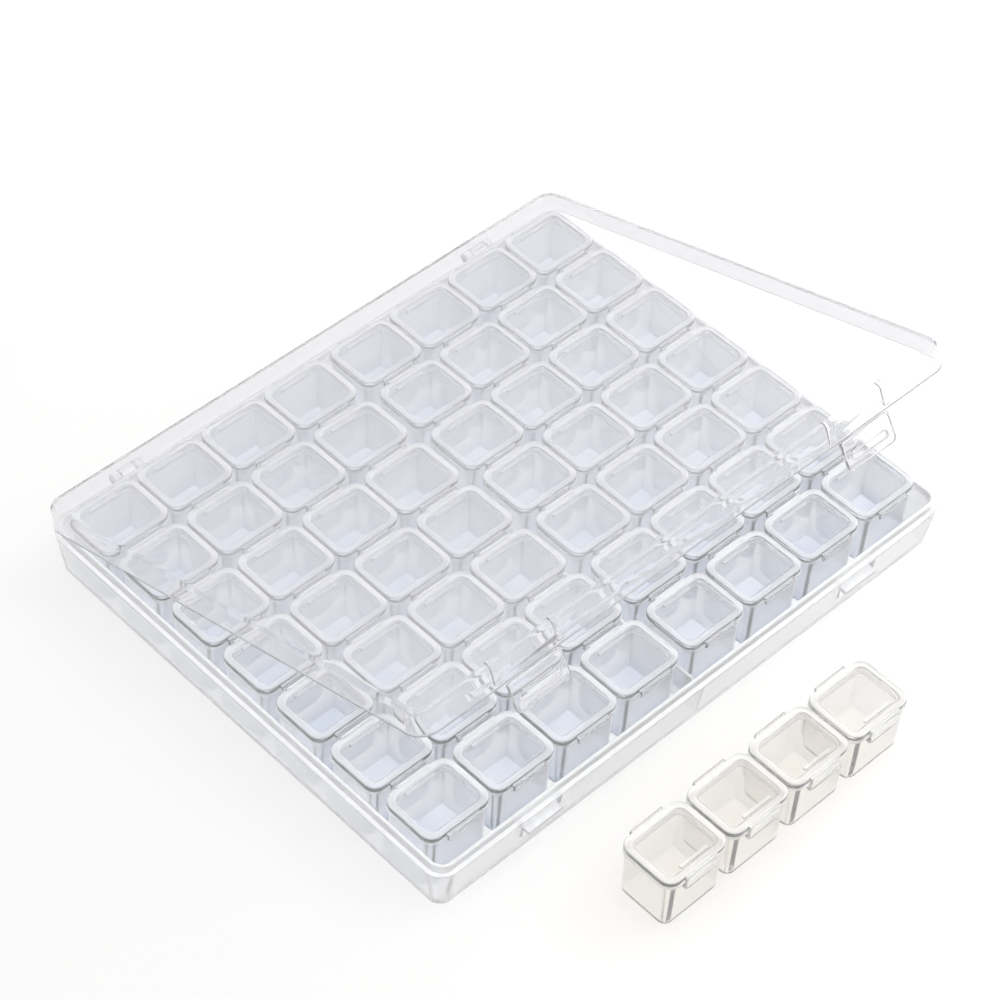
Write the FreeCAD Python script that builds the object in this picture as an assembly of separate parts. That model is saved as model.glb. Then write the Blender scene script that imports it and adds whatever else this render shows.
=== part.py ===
import FreeCAD, Part
import os
from FreeCAD import Vector

# Case: room left round the cups, and the shoulder where the lid's skirt lands on the tray
case_end_room = 3.9
case_side_room = 5.3
case_corner = 6.4
shoulder_height = 16.4
rim_rise = 2.6
lid_room = 0.98
wall_draft = 2.2
wall_thickness = 1.15
floor_thickness = 1.4
bottom_round = 1.2

# Case lid shell
skirt_thickness = 1.1
skirt_draft = 0.9
top_thickness = 1.2
top_round = 1.5
skirt_gap = 0.3
rim_gap = 0.2
lid_open_angle = 18.2

# Divider between the two columns of strips
divider_thickness = 1.2
divider_height = 14.0

# Case hinge at the back edge
hinge_end_distance = 32.5
hinge_reach = 2.3
hinge_pin_radius = 1.0
hinge_running_gap = 0.05
knuckle_radius = 1.9
knuckle_length = 6.0
lug_length = 2.4
lug_side_gap = 0.25

# Snap latches at the front edge
latch_end_distance = 39.5
latch_stile = 2.5
latch_drop = 9.0
latch_thickness = 1.4
latch_corner = 2.0
latch_bead_radius = 0.7
latch_wall_gap = 0.5
latch_rest_angle = 15.0
slot_length = 15.0
slot_height = 2.4
slot_start = 4.0

# Catch in the tray's front wall
recess_side_gap = 0.3
recess_depth = 2.55
recess_height = 8.6
recess_top_land = 1.0
catch_side_gap = 0.7
catch_slack = 0.8
catch_reach = 0.9
catch_rib_count = 4
catch_rib_width = 1.0
catch_rib_share = 0.45

# Short ribs on the lid's front skirt, one at each side of a latch
guide_rib_gap = 0.3
guide_rib_width = 2.6
guide_rib_depth = 0.5
guide_rib_rise = 0.3
guide_rib_wrap = 2.0
guide_rib_share = 0.8

# Cups, joined in strips of four
cups_per_strip = 4
cup_gap = 0.55
cup_rim_length = 24.6
cup_rim_width = 20.6
cup_rim_corner = 4.0
cup_rim_thickness = 1.0
cup_height = 19.4
cup_wall = 0.9
cup_floor = 1.0
cup_top_inset = 0.7
cup_bottom_inset = 1.1
cup_bottom_corner = 2.8
cup_bottom_bevel = 1.3
web_width = 10.0

# Hinge strap behind each cup
strap_width = 12.4
strap_thickness = 0.8
strap_drop = 3.8
strap_bed_depth = 1.2

# Cup lids
cup_lid_gap = 0.06
cup_lid_margin = 0.1
cup_lid_height = 1.94
cup_lid_bevel = 0.5
panel_inset = 2.0
panel_recess = 0.5
under_recess = 0.55
plug_gap = 0.3
plug_thickness = 0.9
plug_depth = 1.2
lip_width = 12.6
lip_reach = 1.1
lip_height = 1.1
lip_skirt_drop = 1.2
lip_skirt_gap = 0.25
hinge_bead_radius = 0.45
hinge_bead_reach = 0.15

# Places of the strips: two columns of seven rows in the tray, one strip loose on the table
row_count = 7
row_gap = 2.6
row_shift = 2.0
column_gap = 2.0
strip_lift = 0.02
loose_strip_x = -12.0
loose_strip_distance = 35.0

# How near an edge must be to a height or a direction to count as lying there
match_gap = 0.005
straight_share = 0.999

# Strips whose four lids are each a piece of their own, by row from the front
single_lid_rows = 3

# Sizes that follow from those above
cup_pitch = cup_rim_length + cup_gap
row_pitch = cup_rim_width + row_gap
case_length = 2 * cups_per_strip * cup_pitch + column_gap + 2 * case_end_room
case_width = row_count * row_pitch + 2 * case_side_room
rim_height = shoulder_height + rim_rise
cup_lid_low = cup_height + cup_lid_gap
cup_lid_top = cup_lid_low + cup_lid_height
strip_floor = floor_thickness + strip_lift
lid_top_height = strip_floor + cup_lid_top + lid_room + top_thickness
hinge_offset = case_length / 2 - hinge_end_distance
latch_offset = case_length / 2 - latch_end_distance
latch_width = slot_length + 2 * latch_stile
recess_length = slot_length + 2 * recess_side_gap
recess_high = shoulder_height - recess_top_land
recess_low = recess_high - recess_height
catch_length = slot_length - 2 * catch_side_gap
catch_height = slot_height - catch_slack
guide_rib_offset = latch_width / 2 + guide_rib_gap + guide_rib_width / 2
loose_strip_y = -case_width / 2 - loose_strip_distance

up = Vector(0, 0, 1)
along = Vector(1, 0, 0)


def rounded_wire(length, width, corner, height):
    """Outline of a rectangle with round corners, centred on the vertical axis."""
    reach_x = length / 2 - corner
    reach_y = width / 2 - corner
    centres = [(reach_x, reach_y), (-reach_x, reach_y), (-reach_x, -reach_y), (reach_x, -reach_y)]
    arcs = []
    for quarter, (x, y) in enumerate(centres):
        start = 90 * quarter
        arcs.append(Part.makeCircle(corner, Vector(x, y, height), up, start, start + 90))
    edges = []
    for quarter, arc in enumerate(arcs):
        following = arcs[(quarter + 1) % len(arcs)]
        edges.append(arc)
        edges.append(Part.makeLine(arc.Vertexes[-1].Point, following.Vertexes[0].Point))
    return Part.Wire(edges)


def block(length, width, corner, bottom, top):
    """Straight block with round upright corners."""
    face = Part.Face(rounded_wire(length, width, corner, bottom))
    return face.extrude(Vector(0, 0, top - bottom))


def tapered(low_size, high_size, bottom, top):
    """Block that runs from one rounded outline to another; a size is length, width and corner."""
    wires = [rounded_wire(*low_size, bottom), rounded_wire(*high_size, top)]
    return Part.makeLoft(wires, True, True)


def box(low_x, high_x, low_y, high_y, low_z, high_z):
    """Plain box between two corners."""
    return Part.makeBox(high_x - low_x, high_y - low_y, high_z - low_z, Vector(low_x, low_y, low_z))


def bar(radius, low_x, high_x, y, z):
    """Round bar along the length of the case."""
    return Part.makeCylinder(radius, high_x - low_x, Vector(low_x, y, z), along)


def edges_at(shape, height):
    """Edges that lie flat at one height."""
    found = []
    for edge in shape.Edges:
        bounds = edge.BoundBox
        if max(abs(bounds.ZMin - height), abs(bounds.ZMax - height)) < match_gap:
            found.append(edge)
    return found


def inset(size, by):
    """Smaller rounded outline inside another one."""
    length, width, corner = size
    return length - 2 * by, width - 2 * by, corner - by


def moved(shape, x, y, z, turn=0):
    """Copy of a shape, turned about the vertical axis and then shifted."""
    copy = shape.copy()
    copy.rotate(Vector(0, 0, 0), up, turn)
    copy.translate(Vector(x, y, z))
    return copy


shoulder_size = (case_length, case_width, case_corner)
rim_share = (rim_height - shoulder_height) / (lid_top_height - shoulder_height)
rim_inset = skirt_thickness + skirt_draft * rim_share + rim_gap
rim_size = inset(shoulder_size, rim_inset)
mouth_size = inset(rim_size, wall_thickness)
hinge_y = case_width / 2 + hinge_reach
hinge_z = shoulder_height
front_face = -case_width / 2
latch_y = front_face - latch_wall_gap - latch_bead_radius
latch_z = shoulder_height + skirt_gap
catch_z = latch_z - slot_start - slot_height / 2


def make_tray():
    """Shell with a stepped rim, divider, latch recesses with catches, and hinge lugs at the back."""
    shell = tapered(inset(shoulder_size, wall_draft), shoulder_size, 0, shoulder_height)
    shell = shell.makeFillet(bottom_round, edges_at(shell, 0))
    shell = shell.fuse(block(*rim_size, shoulder_height, rim_height))
    cavity = tapered(inset(mouth_size, wall_draft), mouth_size, floor_thickness, rim_height)
    shell = shell.cut(cavity)
    half_width = mouth_size[1] / 2
    half_thick = divider_thickness / 2
    root = floor_thickness / 2
    shell = shell.fuse(box(-half_thick, half_thick, -half_width, half_width, root, divider_height))
    for side in (-1, 1):
        shell = shell.cut(recess(side * latch_offset))
        shell = shell.fuse(catch(side * latch_offset))
        for end in (-1, 1):
            shell = shell.fuse(lug(side * hinge_offset, end))
    return shell.removeSplitter()


def recess(x):
    """Pocket in the front wall that takes the latch's catch."""
    half = recess_length / 2
    low = front_face - latch_wall_gap
    return box(x - half, x + half, low, front_face + recess_depth, recess_low, recess_high)


def catch(x):
    """Bar that the latch's slot snaps over, on short ribs that stand in the recess."""
    root = front_face + recess_depth + wall_thickness / 2
    tip = latch_y - catch_reach + latch_bead_radius
    half = catch_length / 2
    low = catch_z - catch_height / 2
    shape = box(x - half, x + half, tip, root, low, low + catch_height)
    spacing = (catch_length - catch_rib_width) / (catch_rib_count - 1)
    rib_tip = front_face + recess_depth * (1 - catch_rib_share)
    for place in range(catch_rib_count):
        left = x - half + place * spacing
        shape = shape.fuse(box(left, left + catch_rib_width, rib_tip, root, recess_low, low))
    return shape


def lug(x, end):
    """Ear on the tray's back wall with a hole for one end of the hinge pin."""
    near = x + end * (knuckle_length / 2 + lug_side_gap)
    far = near + end * lug_length
    low, high = min(near, far), max(near, far)
    root = case_width / 2 - wall_thickness
    shape = bar(knuckle_radius, low, high, hinge_y, hinge_z)
    shape = shape.fuse(box(low, high, root, hinge_y, hinge_z - knuckle_radius, hinge_z))
    return shape.cut(bar(hinge_pin_radius + hinge_running_gap, low, high, hinge_y, hinge_z))


def make_case_lid():
    """Clear shell with a skirt, hinge knuckles with pins, and guide ribs beside the latches."""
    skirt_low = shoulder_height + skirt_gap
    top_size = inset(shoulder_size, skirt_draft)
    shell = tapered(shoulder_size, top_size, skirt_low, lid_top_height)
    shell = shell.makeFillet(top_round, edges_at(shell, lid_top_height))
    inner_low = inset(shoulder_size, skirt_thickness)
    inner_high = inset(top_size, skirt_thickness)
    shell = shell.cut(tapered(inner_low, inner_high, skirt_low, lid_top_height - top_thickness))
    for side in (-1, 1):
        shell = shell.fuse(knuckle(side * hinge_offset, skirt_low))
        for end in (-1, 1):
            shell = shell.fuse(guide_rib(side * latch_offset + end * guide_rib_offset, skirt_low))
    return shell.removeSplitter()


def knuckle(x, skirt_low):
    """Round knuckle behind the skirt, with a pin that reaches into both lugs."""
    half = knuckle_length / 2
    root = case_width / 2 - skirt_thickness
    shape = bar(knuckle_radius, x - half, x + half, hinge_y, hinge_z)
    arm = box(x - half, x + half, root, hinge_y, skirt_low, hinge_z + knuckle_radius)
    reach = half + lug_side_gap + lug_length
    return shape.fuse(arm).fuse(bar(hinge_pin_radius, x - reach, x + reach, hinge_y, hinge_z))


def guide_rib(x, skirt_low):
    """Upright rib that follows the slope of the front skirt and is carried over the edge onto the top."""
    half = guide_rib_width / 2
    high = lid_top_height + guide_rib_rise
    foot = lid_top_height - (lid_top_height - skirt_low) * guide_rib_share
    slope = skirt_draft / (lid_top_height - skirt_low)
    foot_y = front_face + slope * (foot - skirt_low)
    high_y = front_face + slope * (high - skirt_low)
    back = front_face + skirt_draft + guide_rib_wrap
    under = lid_top_height - top_thickness / 2
    inner = skirt_thickness / 2
    side = [
        (foot_y - guide_rib_depth, foot),
        (high_y - guide_rib_depth, high),
        (back, high),
        (back, under),
        (high_y + inner, under),
        (foot_y + inner, foot),
    ]
    points = [Vector(x - half, y, z) for y, z in side]
    face = Part.Face(Part.makePolygon(points + points[:1]))
    shape = face.extrude(along * guide_rib_width)
    brow_edges = []
    for edge in edges_along(shape, along):
        if edge.BoundBox.YMax < high_y and edge.BoundBox.ZMin > high - match_gap:
            brow_edges.append(edge)
    shape = shape.makeFillet(top_round, brow_edges)
    return shape.fuse(Part.makeCylinder(half, high - under, Vector(x, back, under), up))


def make_latch(x):
    """Flap with a slot, hanging straight down from its hinge bead."""
    low = latch_z - latch_drop
    back = latch_y + latch_bead_radius
    front = back - latch_thickness
    plate = box(x - latch_width / 2, x + latch_width / 2, front, back, low, latch_z)
    foot_edges = []
    for edge in edges_along(plate, Vector(0, 1, 0)):
        if edge.BoundBox.ZMax < latch_z - latch_corner:
            foot_edges.append(edge)
    plate = plate.makeFillet(latch_corner, foot_edges)
    slot_top = latch_z - slot_start
    slot = box(x - slot_length / 2, x + slot_length / 2, front, back, slot_top - slot_height, slot_top)
    bead = bar(latch_bead_radius, x - latch_width / 2, x + latch_width / 2, latch_y, latch_z)
    return plate.cut(slot).fuse(bead).removeSplitter()


def edges_along(shape, direction):
    """Straight edges that run in one direction."""
    found = []
    for edge in shape.Edges:
        run = edge.Vertexes[-1].Point - edge.Vertexes[0].Point
        if run.Length > match_gap and abs(run.normalize().dot(direction)) > straight_share:
            found.append(edge)
    return found


rim_outline = (cup_rim_length, cup_rim_width, cup_rim_corner)
cup_top = inset(rim_outline, cup_top_inset)
cup_base = (cup_rim_length - 2 * cup_bottom_inset, cup_rim_width - 2 * cup_bottom_inset, cup_bottom_corner)
cup_mouth = inset(cup_top, cup_wall)
cup_lid_outline = inset(rim_outline, cup_lid_margin)
cup_hinge_y = cup_lid_outline[1] / 2 + hinge_bead_reach
cup_hinge_z = cup_lid_top - hinge_bead_radius


def make_cup():
    """One tapered cup with its rim and the strap for the lid's hinge."""
    body = tapered(cup_base, cup_top, 0, cup_height)
    body = body.makeChamfer(cup_bottom_bevel, edges_at(body, 0))
    body = body.fuse(block(*rim_outline, cup_height - cup_rim_thickness, cup_height))
    half = strap_width / 2
    back = cup_rim_width / 2
    strap_top = cup_hinge_z - hinge_bead_radius - cup_lid_gap
    bed_top = cup_height - cup_rim_thickness
    body = body.fuse(box(-half, half, back, back + strap_thickness, cup_height - strap_drop, strap_top))
    bed = box(-half, half, back - strap_bed_depth, back + strap_thickness, cup_height - strap_drop, bed_top)
    body = body.fuse(bed)
    return body.cut(tapered(inset(cup_base, cup_wall), cup_mouth, cup_floor, cup_height))


def make_strip():
    """Four cups in a row, joined by short webs at the rim."""
    cup = make_cup()
    shape = moved(cup, cup_place(0), 0, 0)
    for place in range(1, cups_per_strip):
        shape = shape.fuse(moved(cup, cup_place(place), 0, 0))
        middle = (cup_place(place - 1) + cup_place(place)) / 2
        reach = (cup_gap + cup_wall) / 2
        half = web_width / 2
        low = cup_height - cup_rim_thickness
        shape = shape.fuse(box(middle - reach, middle + reach, -half, half, low, cup_height))
    return shape.removeSplitter()


def cup_place(place):
    """Distance of a cup from the middle of its strip."""
    return (place - (cups_per_strip - 1) / 2) * cup_pitch


def make_cup_lid():
    """Cap with a raised band, a plug ring below, a thumb lip in front and a hinge bead at the back."""
    cap = block(*cup_lid_outline, cup_lid_low, cup_lid_top)
    cap = cap.makeChamfer(cup_lid_bevel, edges_at(cap, cup_lid_top))
    panel = inset(cup_lid_outline, panel_inset)
    cap = cap.cut(block(*panel, cup_lid_top - panel_recess, cup_lid_top))
    plug = inset(cup_mouth, plug_gap)
    under = inset(plug, plug_thickness)
    cap = cap.fuse(block(*plug, cup_lid_low - plug_depth, cup_lid_low))
    cap = cap.cut(block(*under, cup_lid_low - plug_depth, cup_lid_low + under_recess))
    half = lip_width / 2
    front = -cup_lid_outline[1] / 2
    tip = front - cup_lid_margin - lip_reach
    lip_low = cup_lid_low + cup_lid_margin
    cap = cap.fuse(box(-half, half, tip, front + cup_lid_bevel, lip_low, lip_low + lip_height))
    skirt_back = -cup_rim_width / 2 - lip_skirt_gap
    cap = cap.fuse(box(-half, half, tip, skirt_back, lip_low - lip_skirt_drop, lip_low))
    bead = bar(hinge_bead_radius, -strap_width / 2, strap_width / 2, cup_hinge_y, cup_hinge_z)
    return cap.fuse(bead).removeSplitter()


def opened(shape):
    """Copy of a piece of the closed case lid, swung up to where the lid stands ajar."""
    copy = shape.copy()
    copy.rotate(Vector(0, hinge_y, hinge_z), along, -lid_open_angle)
    return copy


def latched(x):
    """Latch on the ajar case lid, swung a little out from the skirt."""
    flap = make_latch(x)
    flap.rotate(Vector(x, latch_y, latch_z), along, -latch_rest_angle)
    return opened(flap)


os.makedirs("parts", exist_ok=True)


def save(node, shape):
    shape.exportStep(os.path.join("parts", node + ".step"))


save("tray", make_tray())
save("case_lid", opened(make_case_lid()))
save("latch_left", latched(-latch_offset))
save("latch_right", latched(latch_offset))

strip = make_strip()
cup_lid = make_cup_lid()
strip_reach = (cups_per_strip * cup_pitch + column_gap) / 2


def save_strip(name, x, y, z, turn, single_lids):
    """One strip with its lids, each lid by itself or the four of them as one row."""
    save("strip_" + name, moved(strip, x, y, z, turn))
    lids = []
    for place in range(cups_per_strip):
        lid_on_strip = moved(cup_lid, cup_place(place), 0, 0)
        lids.append(moved(lid_on_strip, x, y, z, turn))
    if single_lids:
        for place, shape in enumerate(lids):
            save("lid_" + name + "_" + str(place + 1), shape)
    else:
        save("lids_" + name, Part.makeCompound(lids))


save_strip("loose", loose_strip_x, loose_strip_y, strip_lift, 180, True)
for row in range(row_count):
    row_y = (row - (row_count - 1) / 2) * row_pitch + row_shift
    for side, column in ((-1, "left"), (1, "right")):
        name = column + "_" + str(row + 1)
        save_strip(name, side * strip_reach, row_y, strip_floor, 0, row < single_lid_rows)
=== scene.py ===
import math

import bmesh
import bpy
from mathutils import Matrix, Vector


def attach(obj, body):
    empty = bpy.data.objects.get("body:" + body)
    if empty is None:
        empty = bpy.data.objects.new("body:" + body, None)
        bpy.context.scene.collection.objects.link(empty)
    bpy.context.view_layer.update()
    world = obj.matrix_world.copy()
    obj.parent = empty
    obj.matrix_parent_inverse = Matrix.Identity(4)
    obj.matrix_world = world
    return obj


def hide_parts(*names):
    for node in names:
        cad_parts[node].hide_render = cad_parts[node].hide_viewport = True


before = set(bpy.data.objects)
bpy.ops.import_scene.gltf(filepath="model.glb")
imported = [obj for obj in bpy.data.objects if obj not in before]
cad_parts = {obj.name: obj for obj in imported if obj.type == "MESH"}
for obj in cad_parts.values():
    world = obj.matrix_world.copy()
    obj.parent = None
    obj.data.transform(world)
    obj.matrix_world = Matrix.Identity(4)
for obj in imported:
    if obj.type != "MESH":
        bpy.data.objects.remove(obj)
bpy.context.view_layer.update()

# Tray: the open bottom half of the case, injection moulded in one shot from cloudy polypropylene.
# Its wall steps in at a shoulder to a thin rim, a low divider runs across the floor, two pockets
# with catch bars in the front wall take the latches, and four ears at the back carry the hinge pins.
mm = 0.001
case_length = 211.0
case_width = 173.0
case_corner = 6.4
tray_floor = 1.4
wall_draft = 2.2
shoulder_height = 16.4
rim_height = 19.0
rim_inset = 1.57
rim_thickness = 1.15
divider_height = 14.0
divider_half = 0.6
divider_reach = 83.6
divider_root = 0.9
latch_x = 66.0
pocket_half = 7.8
pocket_front = -88.5
pocket_back = -83.95
pocket_low = 6.8
pocket_high = 15.4
catch_half = 6.8
catch_tip = -87.9
catch_root = -83.4
catch_low = 10.7
catch_high = 12.3
catch_ribs = 4
catch_rib_pitch = 4.2
catch_rib_width = 1.0
catch_rib_tip = -85.1
catch_rib_low = 6.6
catch_rib_high = 11.0
hinge_x = 73.0
hinge_y = 88.8
hinge_z = shoulder_height
hinge_radius = 1.9
ear_offset = 4.45
ear_half = 1.2
ear_root = 85.4
ear_low = 14.5
crease = math.radians(38)


def eased(corners, steps=4, hold=0.25):
    """Cross-section with soft corners; a corner is inset, corner radius, height and how far it is eased."""
    points = []
    for place, (inset, radius, height, ease) in enumerate(corners):
        here = Vector((inset, radius, height))
        if ease == 0:
            points.append(here)
            continue
        back = (Vector(corners[place - 1][:3]) - here).normalized()
        ahead = (Vector(corners[place + 1][:3]) - here).normalized()
        points.append(here + back * (ease + hold))
        for step in range(steps + 1):
            share = step / steps
            points.append(here + back * ease * (1 - share) ** 2 + ahead * ease * share**2)
        points.append(here + ahead * (ease + hold))
    return points


def moulded(name, length, width, points, corner_steps, hold):
    """Closed skin that carries a cross-section round a rectangle with round corners."""
    places = []
    for inset, radius, height in points:
        reach_x = length / 2 - inset - radius
        reach_y = width / 2 - inset - radius
        for quarter, (side_x, side_y) in enumerate(((1, 1), (-1, 1), (-1, -1), (1, -1))):
            for step in range(-1, corner_steps + 2):
                angle = (quarter + min(max(step, 0), corner_steps) / corner_steps) * math.pi / 2
                run = hold * (min(step, 0) + max(step - corner_steps, 0))
                x = side_x * reach_x + radius * math.cos(angle) - run * math.sin(angle)
                y = side_y * reach_y + radius * math.sin(angle) + run * math.cos(angle)
                places.append((x * mm, y * mm, height * mm))
    around = 4 * (corner_steps + 3)
    faces = []
    for ring in range(len(points) - 1):
        for place in range(around):
            low = ring * around + place
            following = ring * around + (place + 1) % around
            faces.append((low, following, following + around, low + around))
    last = (len(points) - 1) * around
    faces.append(tuple(reversed(range(around))))
    faces.append(tuple(range(last, last + around)))
    mesh = bpy.data.meshes.new(name)
    mesh.from_pydata(places, [], faces)
    mesh.shade_smooth()
    return mesh


def plate(low, high, corner, ease, upright="z"):
    """Small moulded block between two corners, with its round corners about the chosen axis."""
    low, high = Vector(low), Vector(high)
    middle = (low + high) / 2
    size = high - low
    turn = Matrix.Identity(4)
    if upright == "y":
        turn = Matrix.Rotation(math.pi / 2, 4, "X")
        size = Vector((size.x, size.z, size.y))
    inner = min(size.x, size.y) / 4
    inner_corner = max(corner - inner, 0.05)
    half = size.z / 2
    corners = [
        (inner, inner_corner, -half, 0),
        (0, corner, -half, ease),
        (0, corner, half, ease),
        (inner, inner_corner, half, 0),
    ]
    section = eased(corners, steps=3, hold=0.05)
    mesh = moulded("plate", size.x, size.y, section, corner_steps=5, hold=0.05)
    mesh.transform(Matrix.Translation(middle * mm) @ turn)
    return mesh


def rod(radius, low_x, high_x, y, z):
    """Round bar along the length of the case, with eased ends."""
    half = (high_x - low_x) / 2
    core = radius / 2
    end_ease = 0.15
    corners = [
        (core, core, -half, 0),
        (0, radius, -half, end_ease),
        (0, radius, half, end_ease),
        (core, core, half, 0),
    ]
    sliver = 0.002
    across = 2 * radius + sliver
    section = eased(corners, steps=2, hold=0.05)
    mesh = moulded("rod", across, across, section, corner_steps=5, hold=sliver / 4)
    lay = Matrix.Rotation(math.pi / 2, 4, "Y")
    mesh.transform(Matrix.Translation(Vector(((low_x + high_x) / 2, y, z)) * mm) @ lay)
    return mesh


def fused(base, others, operation="UNION"):
    """One skin made of a moulding and its small features, or of a moulding less its pockets."""
    piece = bpy.data.objects.new("moulding", base)
    bpy.context.scene.collection.objects.link(piece)
    tools = []
    for mesh in others:
        tool = bpy.data.objects.new("feature", mesh)
        bpy.context.scene.collection.objects.link(tool)
        step = piece.modifiers.new("feature", "BOOLEAN")
        step.operation = operation
        step.solver = "EXACT"
        step.object = tool
        tools.append(tool)
    depsgraph = bpy.context.evaluated_depsgraph_get()
    made = bpy.data.meshes.new_from_object(piece.evaluated_get(depsgraph), depsgraph=depsgraph)
    for tool in tools:
        bpy.data.objects.remove(tool)
    bpy.data.objects.remove(piece)
    made.shade_smooth()
    made.set_sharp_from_angle(angle=crease)
    return made


def plastic(name, tint, cloud_and_shade_tint, clear, rough, mottle, passing, milky=None, bend=1.49, painted_shade_height=None):
    """Polypropylene with faint clouds in its colour and shine.

    milky gives two heights and the clearness above them. The last argument gives the height below which the
    second tint is painted shade, fading in towards the bottom.
    """
    cloud_scale = 55
    grain_scale = 420
    grain_depth = 0.2
    dull_share, bright_share = 0.7, 1.3
    material = bpy.data.materials.new(name)
    material.use_nodes = True
    nodes = material.node_tree.nodes
    links = material.node_tree.links
    shader = nodes["Principled BSDF"]
    shader.inputs["IOR"].default_value = bend
    shader.inputs["Transmission Weight"].default_value = clear
    place = nodes.new("ShaderNodeTexCoord")
    spot = nodes.new("ShaderNodeSeparateXYZ")
    links.new(place.outputs["Object"], spot.inputs["Vector"])
    if milky:
        cloudier = nodes.new("ShaderNodeMapRange")
        cloudier.inputs["From Min"].default_value = milky[0] * mm
        cloudier.inputs["From Max"].default_value = milky[1] * mm
        cloudier.inputs["To Min"].default_value = clear
        cloudier.inputs["To Max"].default_value = milky[2]
        links.new(spot.outputs["Z"], cloudier.inputs["Value"])
        links.new(cloudier.outputs["Result"], shader.inputs["Transmission Weight"])
    clouds = nodes.new("ShaderNodeTexNoise")
    clouds.inputs["Scale"].default_value = cloud_scale
    clouds.inputs["Detail"].default_value = 3
    links.new(place.outputs["Object"], clouds.inputs["Vector"])
    colour = nodes.new("ShaderNodeMix")
    colour.data_type = "RGBA"
    colour.inputs[6].default_value = (*tint, 1)
    colour.inputs[7].default_value = (*cloud_and_shade_tint, 1)
    links.new(clouds.outputs["Fac"], colour.inputs[0])
    # Painted shade: where a height is given, the clouds bring the second tint in only below it, more and more
    # towards the bottom, as shade that falls low down inside the tray.
    if painted_shade_height:
        painted_shade_fade = nodes.new("ShaderNodeMapRange")
        painted_shade_fade.inputs["From Max"].default_value = painted_shade_height * mm
        painted_shade_fade.inputs["To Min"].default_value = 1
        painted_shade_fade.inputs["To Max"].default_value = 0
        links.new(spot.outputs["Z"], painted_shade_fade.inputs["Value"])
        clouded_painted_shade = nodes.new("ShaderNodeMath")
        clouded_painted_shade.operation = "MULTIPLY"
        links.new(clouds.outputs["Fac"], clouded_painted_shade.inputs[0])
        links.new(painted_shade_fade.outputs["Result"], clouded_painted_shade.inputs[1])
        links.new(clouded_painted_shade.outputs["Value"], colour.inputs[0])
    links.new(colour.outputs[2], shader.inputs["Base Color"])
    grain = nodes.new("ShaderNodeTexNoise")
    grain.inputs["Scale"].default_value = grain_scale
    grain.inputs["Detail"].default_value = 2
    links.new(place.outputs["Object"], grain.inputs["Vector"])
    shine = nodes.new("ShaderNodeMapRange")
    shine.inputs["To Min"].default_value = rough * dull_share
    shine.inputs["To Max"].default_value = rough * bright_share
    links.new(grain.outputs["Fac"], shine.inputs["Value"])
    links.new(shine.outputs["Result"], shader.inputs["Roughness"])
    ripple = nodes.new("ShaderNodeBump")
    ripple.inputs["Strength"].default_value = mottle
    ripple.inputs["Distance"].default_value = grain_depth * mm
    links.new(grain.outputs["Fac"], ripple.inputs["Height"])
    links.new(ripple.outputs["Normal"], shader.inputs["Normal"])
    path = nodes.new("ShaderNodeLightPath")
    through = nodes.new("ShaderNodeBsdfTransparent")
    through.inputs["Color"].default_value = (*passing, 1)
    either = nodes.new("ShaderNodeMixShader")
    links.new(path.outputs["Is Shadow Ray"], either.inputs["Fac"])
    links.new(shader.outputs["BSDF"], either.inputs[1])
    links.new(through.outputs["BSDF"], either.inputs[2])
    links.new(either.outputs["Shader"], nodes["Material Output"].inputs["Surface"])
    return material


def finished(name, mesh, material, node):
    """The piece that stands for a solid and rides on the body of the same name."""
    mesh.name = name
    mesh.materials.clear()
    mesh.materials.append(material)
    piece = bpy.data.objects.new(name, mesh)
    bpy.context.scene.collection.objects.link(piece)
    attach(piece, node)
    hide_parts(node)


rim_inner = rim_inset + rim_thickness
foot_inner = rim_inner + wall_draft
tray_wall = eased(
    [
        (8.0, 2.0, 0.0, 0),
        (wall_draft, case_corner - wall_draft, 0.0, 1.2),
        (0.0, case_corner, shoulder_height, 0.35),
        (rim_inset, case_corner - rim_inset, shoulder_height, 0.3),
        (rim_inset, case_corner - rim_inset, rim_height, 0.4),
        (rim_inner, case_corner - rim_inner, rim_height, 0.4),
        (foot_inner, case_corner - foot_inner, tray_floor, 1.0),
        (9.0, 1.0, tray_floor, 0),
    ]
)
tray_mesh = moulded("tray_shell", case_length, case_width, tray_wall, corner_steps=14, hold=0.6)
divider_start = (-divider_half, -divider_reach, divider_root)
divider_end = (divider_half, divider_reach, divider_height)
tray_features = [plate(divider_start, divider_end, corner=0.25, ease=0.25)]
tray_pockets = []
for side in (-1, 1):
    x = side * latch_x
    pocket_start = (x - pocket_half, pocket_front, pocket_low)
    pocket_end = (x + pocket_half, pocket_back, pocket_high)
    tray_pockets.append(plate(pocket_start, pocket_end, corner=0.6, ease=0.3, upright="y"))
    catch_start = (x - catch_half, catch_tip, catch_low)
    catch_end = (x + catch_half, catch_root, catch_high)
    tray_features.append(plate(catch_start, catch_end, corner=0.3, ease=0.25, upright="y"))
    for rib in range(catch_ribs):
        left = x - catch_half + rib * catch_rib_pitch
        rib_start = (left, catch_rib_tip, catch_rib_low)
        rib_end = (left + catch_rib_width, catch_root, catch_rib_high)
        tray_features.append(plate(rib_start, rib_end, corner=0.25, ease=0.2))
    for end in (-1, 1):
        ear = side * hinge_x + end * ear_offset
        tray_features.append(rod(hinge_radius, ear - ear_half, ear + ear_half, hinge_y, hinge_z))
        ear_start = (ear - ear_half, ear_root, ear_low)
        ear_end = (ear + ear_half, hinge_y, hinge_z)
        tray_features.append(plate(ear_start, ear_end, corner=0.3, ease=0.2))
tray_mesh = fused(tray_mesh, tray_pockets, "DIFFERENCE")
tray_mesh = fused(tray_mesh, tray_features)
cloudy = plastic(
    "cloudy_plastic",
    tint=(0.97, 0.972, 0.978),
    cloud_and_shade_tint=(0.96, 0.964, 0.972),
    clear=0.68,
    rough=0.06,
    mottle=0.01,
    passing=(0.975, 0.975, 0.976),
    milky=(16.2, 16.6, 0.4),
    bend=1.4,
)
finished("tray_moulding", tray_mesh, cloudy, "tray")

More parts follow.
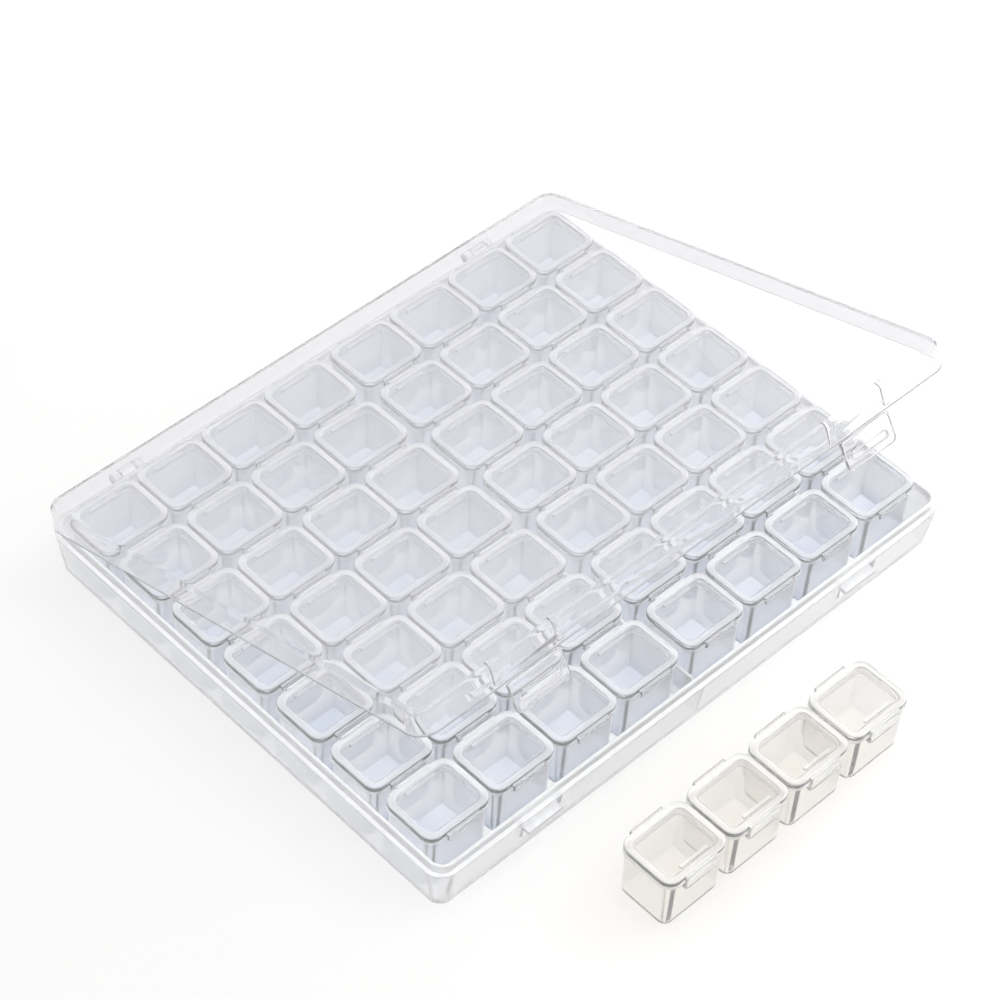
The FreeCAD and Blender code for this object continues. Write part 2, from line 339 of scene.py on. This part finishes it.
# Strips of cups: four tapered cups side by side, joined at their rims by short webs, moulded in the
# same polypropylene. Behind each cup hangs the strap plate that its lid is hinged on.
cup_length = 24.6
cup_width = 20.6
cup_corner = 4.0
cup_height = 19.4
cup_band_low = 18.4
cup_floor = 1.0
cup_pitch = 25.15
cups_per_strip = 4
web_size = (1.45, 10.0, 0.9)
web_height = 18.9
strap_half = 6.2
strap_low = 15.6
row_count = 7
row_pitch = 23.2
row_shift = 2.0
column_x = 51.3
seat_height = 1.42
loose_place = (-12.0, -121.5, 0.02)
cup_wall = eased(
    [
        (6.0, 1.4, 0.0, 0),
        (1.1, 2.8, 0.0, 1.3),
        (0.72, 3.3, cup_band_low, 0.15),
        (0.0, cup_corner, cup_band_low, 0.25),
        (0.0, cup_corner, cup_height, 0.3),
        (1.6, 1.1, cup_height, 0.3),
        (1.98, 0.6, cup_floor, 0.3),
        (6.5, 1.2, cup_floor, 0),
    ],
    steps=4,
    hold=0.15,
)
cup_mesh = moulded("cup_shell", cup_length, cup_width, cup_wall, corner_steps=7, hold=0.3)
strap = plate((-strap_half, 10.1, strap_low), (strap_half, 11.1, 20.4), corner=1.2, ease=0.25, upright="y")
strap_bed = plate((-strap_half, 9.1, strap_low), (strap_half, 10.8, 18.6), corner=0.5, ease=0.2, upright="y")
cup_mesh = fused(cup_mesh, [strap, strap_bed])


def repeating_tree(name, with_webs):
    """Node tree that repeats a moulding along a row, sets the row in its place and gives it its plastic."""
    tree = bpy.data.node_groups.new(name, "GeometryNodeTree")
    inputs = (
        ("Geometry", "NodeSocketGeometry"),
        ("Count", "NodeSocketInt"),
        ("Pitch", "NodeSocketFloat"),
        ("Place", "NodeSocketVector"),
        ("Turn", "NodeSocketFloat"),
        ("Web Size", "NodeSocketVector"),
        ("Web Height", "NodeSocketFloat"),
        ("Plastic", "NodeSocketMaterial"),
    )
    for label, kind in inputs:
        tree.interface.new_socket(label, in_out="INPUT", socket_type=kind)
    tree.interface.new_socket("Geometry", in_out="OUTPUT", socket_type="NodeSocketGeometry")
    add = tree.nodes.new
    link = tree.links.new
    given = add("NodeGroupInput").outputs
    result = add("NodeGroupOutput")

    def row(count, instance):
        """Copies of one shape, spread evenly to both sides of the middle."""
        step = add("ShaderNodeCombineXYZ")
        link(given["Pitch"], step.inputs["X"])
        gaps = add("ShaderNodeMath")
        gaps.operation = "SUBTRACT"
        link(count, gaps.inputs[0])
        gaps.inputs[1].default_value = 1
        half = add("ShaderNodeMath")
        half.operation = "MULTIPLY"
        link(gaps.outputs[0], half.inputs[0])
        half.inputs[1].default_value = -0.5
        start = add("ShaderNodeVectorMath")
        start.operation = "SCALE"
        link(step.outputs[0], start.inputs[0])
        link(half.outputs[0], start.inputs["Scale"])
        line = add("GeometryNodeMeshLine")
        link(count, line.inputs["Count"])
        link(start.outputs[0], line.inputs["Start Location"])
        link(step.outputs[0], line.inputs["Offset"])
        copies = add("GeometryNodeInstanceOnPoints")
        link(line.outputs["Mesh"], copies.inputs["Points"])
        link(instance, copies.inputs["Instance"])
        return copies.outputs["Instances"]

    shapes = row(given["Count"], given["Geometry"])
    if with_webs:
        between = add("ShaderNodeMath")
        between.operation = "SUBTRACT"
        link(given["Count"], between.inputs[0])
        between.inputs[1].default_value = 1
        web = add("GeometryNodeMeshCube")
        link(given["Web Size"], web.inputs["Size"])
        height = add("ShaderNodeCombineXYZ")
        link(given["Web Height"], height.inputs["Z"])
        raised = add("GeometryNodeTransform")
        link(web.outputs["Mesh"], raised.inputs["Geometry"])
        link(height.outputs[0], raised.inputs["Translation"])
        joined = add("GeometryNodeMeshBoolean")
        joined.operation = "UNION"
        link(row(given["Count"], given["Geometry"]), joined.inputs["Mesh 2"])
        link(row(between.outputs[0], raised.outputs["Geometry"]), joined.inputs["Mesh 2"])
        shapes = joined.outputs["Mesh"]
    angle = add("ShaderNodeCombineXYZ")
    link(given["Turn"], angle.inputs["Z"])
    placed = add("GeometryNodeTransform")
    link(shapes, placed.inputs["Geometry"])
    link(given["Place"], placed.inputs["Translation"])
    link(angle.outputs[0], placed.inputs["Rotation"])
    real = add("GeometryNodeRealizeInstances")
    link(placed.outputs["Geometry"], real.inputs["Geometry"])
    dressed = add("GeometryNodeSetMaterial")
    link(real.outputs["Geometry"], dressed.inputs["Geometry"])
    link(given["Plastic"], dressed.inputs["Material"])
    link(dressed.outputs["Geometry"], result.inputs["Geometry"])
    return tree


def repeated(mesh, tree, values):
    """Plain mesh of a shape repeated by a tree, with the tree's inputs set by name."""
    piece = bpy.data.objects.new("row", mesh)
    bpy.context.scene.collection.objects.link(piece)
    maker = piece.modifiers.new("row", "NODES")
    maker.node_group = tree
    for item in tree.interface.items_tree:
        if item.in_out == "INPUT" and item.name in values:
            maker[item.identifier] = values[item.name]
    depsgraph = bpy.context.evaluated_depsgraph_get()
    made = bpy.data.meshes.new_from_object(piece.evaluated_get(depsgraph), depsgraph=depsgraph)
    piece.modifiers.remove(maker)
    bpy.data.objects.remove(piece)
    made.shade_smooth()
    made.set_sharp_from_angle(angle=crease)
    return made


# Cup plastic: pale blue-white, with a dark blue-grey painted shade as its second tint. The clouds blotch it
# in below 9 mm, darkest at the cup floors, where the tray shades the cups.
cup_plastic = plastic(
    "cup_plastic",
    tint=(0.96, 0.966, 0.978),
    cloud_and_shade_tint=(0.48, 0.55, 0.7),
    clear=0.7,
    rough=0.02,
    mottle=0.01,
    passing=(0.986, 0.987, 0.989),
    milky=(19.7, 19.95, 0.6),
    bend=1.3,
    painted_shade_height=9.0,
)
loose_plastic = plastic(
    "loose_cup_plastic",
    tint=(0.97, 0.962, 0.948),
    cloud_and_shade_tint=(0.96, 0.95, 0.935),
    clear=0.86,
    rough=0.03,
    mottle=0.01,
    passing=(0.988, 0.984, 0.976),
    milky=(18.3, 18.55, 0.5),
    bend=1.3,
)
strips = [("loose", loose_place, math.pi, loose_plastic)]
middle_row = row_count // 2
for row_number in range(row_count):
    for side, column in ((-1, "left"), (1, "right")):
        place = (side * column_x, (row_number - middle_row) * row_pitch + row_shift, seat_height)
        strips.append((f"{column}_{row_number + 1}", place, 0.0, cup_plastic))
strip_tree = repeating_tree("cups_in_a_strip", True)
for name, place, turn, material in strips:
    mesh = repeated(
        cup_mesh,
        strip_tree,
        {
            "Count": cups_per_strip,
            "Pitch": cup_pitch * mm,
            "Place": Vector(place) * mm,
            "Turn": turn,
            "Web Size": Vector(web_size) * mm,
            "Web Height": web_height * mm,
            "Plastic": material,
        },
    )
    finished(f"cups_{name}", mesh, material, f"strip_{name}")

# Cup lids: clear snap caps, each with a rounded band round a sunken window, a plug ring that grips
# the mouth of the cup, a thumb lip in front, a round hinge bead along its back edge and a small bar
# on the window beside it. The first rows are made one lid to a piece, each on its own body, the
# others as one piece to a strip of four.
lid_length = 24.4
lid_width = 20.4
lid_corner = 3.9
lid_low = 19.46
lid_top = 21.4
plug_low = 18.26
window_low = 20.01
window_top = 20.9
lip_half = 6.3
lip_tip = -11.4
single_rows = 3
lid_wall = eased(
    [
        (6.0, 1.0, window_low, 0),
        (2.7, 1.9, window_low, 0.25),
        (2.7, 1.9, plug_low, 0.2),
        (1.8, 2.3, plug_low, 0.2),
        (1.8, 2.3, lid_low, 0.12),
        (0.0, lid_corner, lid_low, 0.25),
        (0.0, lid_corner, lid_top, 0.75),
        (2.0, 2.6, lid_top, 0.45),
        (2.25, 2.4, window_top, 0.2),
        (6.0, 1.4, window_top, 0),
    ],
    steps=4,
    hold=0.06,
)
cap_mesh = moulded("cap_shell", lid_length, lid_width, lid_wall, corner_steps=7, hold=0.3)
thumb_lip = plate((-lip_half, lip_tip, 19.56), (lip_half, -9.6, 20.66), corner=0.4, ease=0.3)
lip_skirt = plate((-lip_half, lip_tip, 18.36), (lip_half, -10.55, 20.0), corner=0.3, ease=0.25)
hinge_bead = rod(0.45, -strap_half, strap_half, 10.35, 20.95)
hinge_bar = plate((-6.0, 6.2, 20.6), (5.0, 7.4, 21.3), corner=0.3, ease=0.25)
cap_mesh = fused(cap_mesh, [thumb_lip, lip_skirt, hinge_bead, hinge_bar])
cap_plastic = plastic(
    "cap_plastic",
    tint=(0.975, 0.978, 0.985),
    cloud_and_shade_tint=(0.965, 0.97, 0.98),
    clear=0.95,
    rough=0.02,
    mottle=0.0,
    passing=(0.992, 0.992, 0.993),
    milky=(22.35, 22.5, 0.72),
)
loose_cap_plastic = plastic(
    "loose_cap_plastic",
    tint=(0.985, 0.98, 0.97),
    cloud_and_shade_tint=(0.97, 0.965, 0.955),
    clear=0.97,
    rough=0.02,
    mottle=0.0,
    passing=(0.993, 0.991, 0.988),
    milky=(20.95, 21.1, 0.7),
)
cap_tree = repeating_tree("caps_on_a_strip", False)
for name, place, turn, material in strips:
    glaze = loose_cap_plastic if name == "loose" else cap_plastic
    grouped = name != "loose" and int(name[-1]) > single_rows
    if grouped:
        caps = [(f"lids_{name}", cups_per_strip, place)]
    else:
        caps = []
        for cup in range(cups_per_strip):
            along = (cup - (cups_per_strip - 1) / 2) * cup_pitch
            shift = Matrix.Rotation(turn, 3, "Z") @ Vector((along, 0, 0))
            caps.append((f"lid_{name}_{cup + 1}", 1, Vector(place) + shift))
    for node, count, spot in caps:
        mesh = repeated(
            cap_mesh,
            cap_tree,
            {
                "Count": count,
                "Pitch": cup_pitch * mm,
                "Place": Vector(spot) * mm,
                "Turn": turn,
                "Plastic": glaze,
            },
        )
        finished(f"cap_{node}", mesh, glaze, node)

# Case lid: a clear shallow shell with a tapered skirt, moulded with two hinge knuckles and their
# pins at the back and a pair of upright ribs beside each latch. It stands ajar on its hinge.
open_angle = math.radians(18.2)
skirt_low = 16.7
panel_low = 23.8
panel_top = 25.0
knuckle_half = 3.0
knuckle_root = 85.5
knuckle_high = 18.3
pin_radius = 1.0
pin_half = 5.65
rib_offset = 11.6
rib_half = 1.3
rib_top = 25.3
rib_round = 1.5
swing = (
    Matrix.Translation(Vector((0, hinge_y, hinge_z)) * mm)
    @ Matrix.Rotation(-open_angle, 4, "X")
    @ Matrix.Translation(Vector((0, -hinge_y, -hinge_z)) * mm)
)
case_lid_wall = eased(
    [
        (9.0, 1.5, panel_low, 0),
        (2.0, 4.4, panel_low, 0.8),
        (1.1, 5.3, skirt_low, 0.3),
        (0.0, case_corner, skirt_low, 0.3),
        (0.9, 5.5, panel_top, 1.5),
        (9.0, 1.5, panel_top, 0),
    ]
)
case_lid_mesh = moulded("case_lid_shell", case_length, case_width, case_lid_wall, corner_steps=14, hold=0.6)


def upright_rib(outline, low_x, high_x, ease):
    """Bar cut to an outline seen from the side, with eased edges."""
    mesh = bpy.data.meshes.new("rib")
    shape = bmesh.new()
    near = [shape.verts.new((low_x * mm, y * mm, z * mm)) for y, z in outline]
    far = [shape.verts.new((high_x * mm, y * mm, z * mm)) for y, z in outline]
    shape.faces.new(near)
    shape.faces.new(list(reversed(far)))
    for place in range(len(outline)):
        following = (place + 1) % len(outline)
        shape.faces.new((near[following], near[place], far[place], far[following]))
    bmesh.ops.recalc_face_normals(shape, faces=shape.faces)
    long_edges = [edge for edge in shape.edges if abs(edge.verts[0].co.x - edge.verts[1].co.x) < 0.1 * mm]
    bmesh.ops.bevel(shape, geom=long_edges, offset=ease * mm, segments=3, profile=0.5, affect="EDGES")
    shape.to_mesh(mesh)
    shape.free()
    return mesh


rib_outline = [(-85.0, 18.4), (-86.82, 18.4), (-86.2, panel_low)]
rib_steps = 4
for step in range(rib_steps + 1):
    bend = math.pi / 2 * step / rib_steps
    rib_outline.append((-84.65 - rib_round * math.cos(bend), panel_low + rib_round * math.sin(bend)))
rib_outline += [(-83.6, rib_top), (-83.6, 24.4), (-85.0, 23.4)]
case_lid_features = []
for side in (-1, 1):
    x = side * hinge_x
    knuckle_start = (x - knuckle_half, knuckle_root, skirt_low)
    knuckle_end = (x + knuckle_half, hinge_y, knuckle_high)
    case_lid_features.append(rod(hinge_radius, x - knuckle_half, x + knuckle_half, hinge_y, hinge_z))
    case_lid_features.append(plate(knuckle_start, knuckle_end, corner=0.3, ease=0.2))
    case_lid_features.append(rod(pin_radius, x - pin_half, x + pin_half, hinge_y, hinge_z))
    for end in (-1, 1):
        rib = side * latch_x + end * rib_offset
        wrap_start = (rib - rib_half, -84.9, 24.4)
        wrap_end = (rib + rib_half, -82.3, rib_top)
        case_lid_features.append(upright_rib(rib_outline, rib - rib_half, rib + rib_half, 0.25))
        case_lid_features.append(plate(wrap_start, wrap_end, corner=1.29, ease=0.25))
case_lid_mesh = fused(case_lid_mesh, case_lid_features)
case_lid_mesh.transform(swing)
clear = plastic(
    "clear_plastic",
    tint=(0.96, 0.957, 0.967),
    cloud_and_shade_tint=(0.95, 0.948, 0.96),
    clear=0.92,
    rough=0.015,
    mottle=0.0,
    passing=(0.993, 0.993, 0.994),
)
finished("case_lid_moulding", case_lid_mesh, clear, "case_lid")

# Latches: two clear flaps with a long slot that snaps over the catch bar, each turning on a round
# bead under the front edge of the case lid and left hanging a little away from it.
flap_half = 10.0
flap_low = 7.7
flap_high = 17.1
slot_half = 7.5
slot_low = 10.3
slot_high = 12.7
bead_radius = 0.7
bead_y = -87.7
hang_angle = math.radians(15)
hang = (
    Matrix.Translation(Vector((0, bead_y, skirt_low)) * mm)
    @ Matrix.Rotation(-hang_angle, 4, "X")
    @ Matrix.Translation(Vector((0, -bead_y, -skirt_low)) * mm)
)
for side, name in ((-1, "latch_left"), (1, "latch_right")):
    x = side * latch_x
    flap_start = (x - flap_half, -88.4, flap_low)
    flap_end = (x + flap_half, -87.0, flap_high)
    flap = plate(flap_start, flap_end, corner=1.9, ease=0.35, upright="y")
    slot_start = (x - slot_half, -89.0, slot_low)
    slot_end = (x + slot_half, -86.4, slot_high)
    slot = plate(slot_start, slot_end, corner=0.7, ease=0.2, upright="y")
    bead = rod(bead_radius, x - flap_half, x + flap_half, bead_y, skirt_low)
    latch_mesh = fused(flap, [slot], "DIFFERENCE")
    latch_mesh = fused(latch_mesh, [bead])
    latch_mesh.transform(swing @ hang)
    finished(f"{name}_flap", latch_mesh, clear, name)

# Table: a plain sheet of matt white paper under the object, wide enough to fill the view. It keeps
# the object's shadow, and a trace of glow lifts it to white where it is seen.
table_mesh = bpy.data.meshes.new("table")
reach = 3.0
table_level = -0.00005
table_corners = ((-1, -1), (1, -1), (1, 1), (-1, 1))
table_places = [(side_x * reach, side_y * reach, table_level) for side_x, side_y in table_corners]
table_mesh.from_pydata(table_places, [], [(0, 1, 2, 3)])
table = bpy.data.objects.new("table", table_mesh)
bpy.context.scene.collection.objects.link(table)


def plainly_seen(nodes, links):
    """1 for rays that show a surface, straight, mirrored or through plastic, and 0 for others."""
    path = nodes.new("ShaderNodeLightPath")
    seen = path.outputs["Is Camera Ray"]
    for kind in ("Is Glossy Ray", "Is Transmission Ray"):
        either = nodes.new("ShaderNodeMath")
        either.operation = "MAXIMUM"
        links.new(seen, either.inputs[0])
        links.new(path.outputs[kind], either.inputs[1])
        seen = either.outputs[0]
    return seen


paper = bpy.data.materials.new("white_paper")
paper.use_nodes = True
nodes = paper.node_tree.nodes
links = paper.node_tree.links
surface = nodes["Principled BSDF"]
surface.inputs["Base Color"].default_value = (0.79, 0.783, 0.772, 1)
surface.inputs["Roughness"].default_value = 0.9
surface.inputs["Specular IOR Level"].default_value = 0.1
share = nodes.new("ShaderNodeMath")
share.operation = "MULTIPLY"
share.inputs[1].default_value = 0.04
links.new(plainly_seen(nodes, links), share.inputs[0])
glow = nodes.new("ShaderNodeEmission")
links.new(share.outputs[0], glow.inputs["Strength"])
both = nodes.new("ShaderNodeAddShader")
links.new(surface.outputs["BSDF"], both.inputs[0])
links.new(glow.outputs["Emission"], both.inputs[1])
links.new(both.outputs["Shader"], nodes["Material Output"].inputs["Surface"])
table_mesh.materials.append(paper)

# Light: a bright room, a little dimmer low down, and one large soft lamp up at the right, which throws
# the shadow to the left. The lamp isn't mirrored in the plastic, where its glare would hide the cups.
lamp_side = 1.3
lamp_power = 58
lamp_place = (1.6, -0.5, 1.8)
room_shades = (
    (0.2, (0.7, 0.7, 0.72, 1)),
    (0.5, (0.68, 0.685, 0.7, 1)),
    (0.82, (0.68, 0.685, 0.7, 1)),
    (0.95, (1, 1, 1, 1)),
)
world = bpy.data.worlds.new("studio")
bpy.context.scene.world = world
world.use_nodes = True
nodes = world.node_tree.nodes
links = world.node_tree.links
sky = nodes["Background"]
level = nodes.new("ShaderNodeMapRange")
level.inputs["To Min"].default_value = 0.84
level.inputs["To Max"].default_value = 1.0
links.new(plainly_seen(nodes, links), level.inputs["Value"])
links.new(level.outputs["Result"], sky.inputs["Strength"])
direction = nodes.new("ShaderNodeTexCoord")
height = nodes.new("ShaderNodeSeparateXYZ")
links.new(direction.outputs["Generated"], height.inputs["Vector"])
room = nodes.new("ShaderNodeValToRGB")
links.new(height.outputs["Z"], room.inputs["Fac"])
ramp = room.color_ramp.elements
ramp.remove(ramp[1])
ramp[0].position, ramp[0].color = room_shades[0]
for height_share, shade in room_shades[1:]:
    ramp.new(height_share).color = shade
links.new(room.outputs["Color"], sky.inputs["Color"])
lamp_data = bpy.data.lights.new("soft_lamp", "AREA")
lamp_data.shape = "RECTANGLE"
lamp_data.size = lamp_side
lamp_data.size_y = lamp_side
lamp_data.energy = lamp_power
lamp = bpy.data.objects.new("soft_lamp", lamp_data)
lamp.visible_glossy = False
lamp.visible_transmission = False
lamp.location = lamp_place
lamp.rotation_euler = (-lamp.location).to_track_quat("-Z", "Y").to_euler()
bpy.context.scene.collection.objects.link(lamp)
bpy.context.scene.view_settings.view_transform = "Standard"
light_paths = bpy.context.scene.cycles
light_paths.caustics_reflective = False
light_paths.max_bounces = 24
light_paths.transmission_bounces = 24
light_paths.glossy_bounces = 16
light_paths.transparent_max_bounces = 40

# Camera: above the front left corner of the case, far off with a long lens, and tilted a little to
# one side, as the picture was taken.
distance = 979.67
focal_length = 115.538
turn_round = math.radians(43.838)
look_down = math.radians(48.257)
tilt = math.radians(3.507)
aim = Vector((7.116, 7.833, 12.0)) * mm
ahead = Vector(
    (
        math.cos(turn_round) * math.cos(look_down),
        math.sin(turn_round) * math.cos(look_down),
        -math.sin(look_down),
    )
)
level_right = ahead.cross(Vector((0, 0, 1))).normalized()
level_up = level_right.cross(ahead)
right = level_right * math.cos(tilt) + level_up * math.sin(tilt)
above = level_up * math.cos(tilt) - level_right * math.sin(tilt)
stand = aim - ahead * distance * mm
lens = bpy.data.cameras.new("camera")
lens.lens = focal_length
lens.sensor_width = 36
lens.clip_start = 0.05
lens.clip_end = 20
camera = bpy.data.objects.new("camera", lens)
camera.matrix_world = Matrix(
    (
        (right.x, above.x, -ahead.x, stand.x),
        (right.y, above.y, -ahead.y, stand.y),
        (right.z, above.z, -ahead.z, stand.z),
        (0, 0, 0, 1),
    )
)
bpy.context.scene.collection.objects.link(camera)
bpy.context.scene.camera = camera
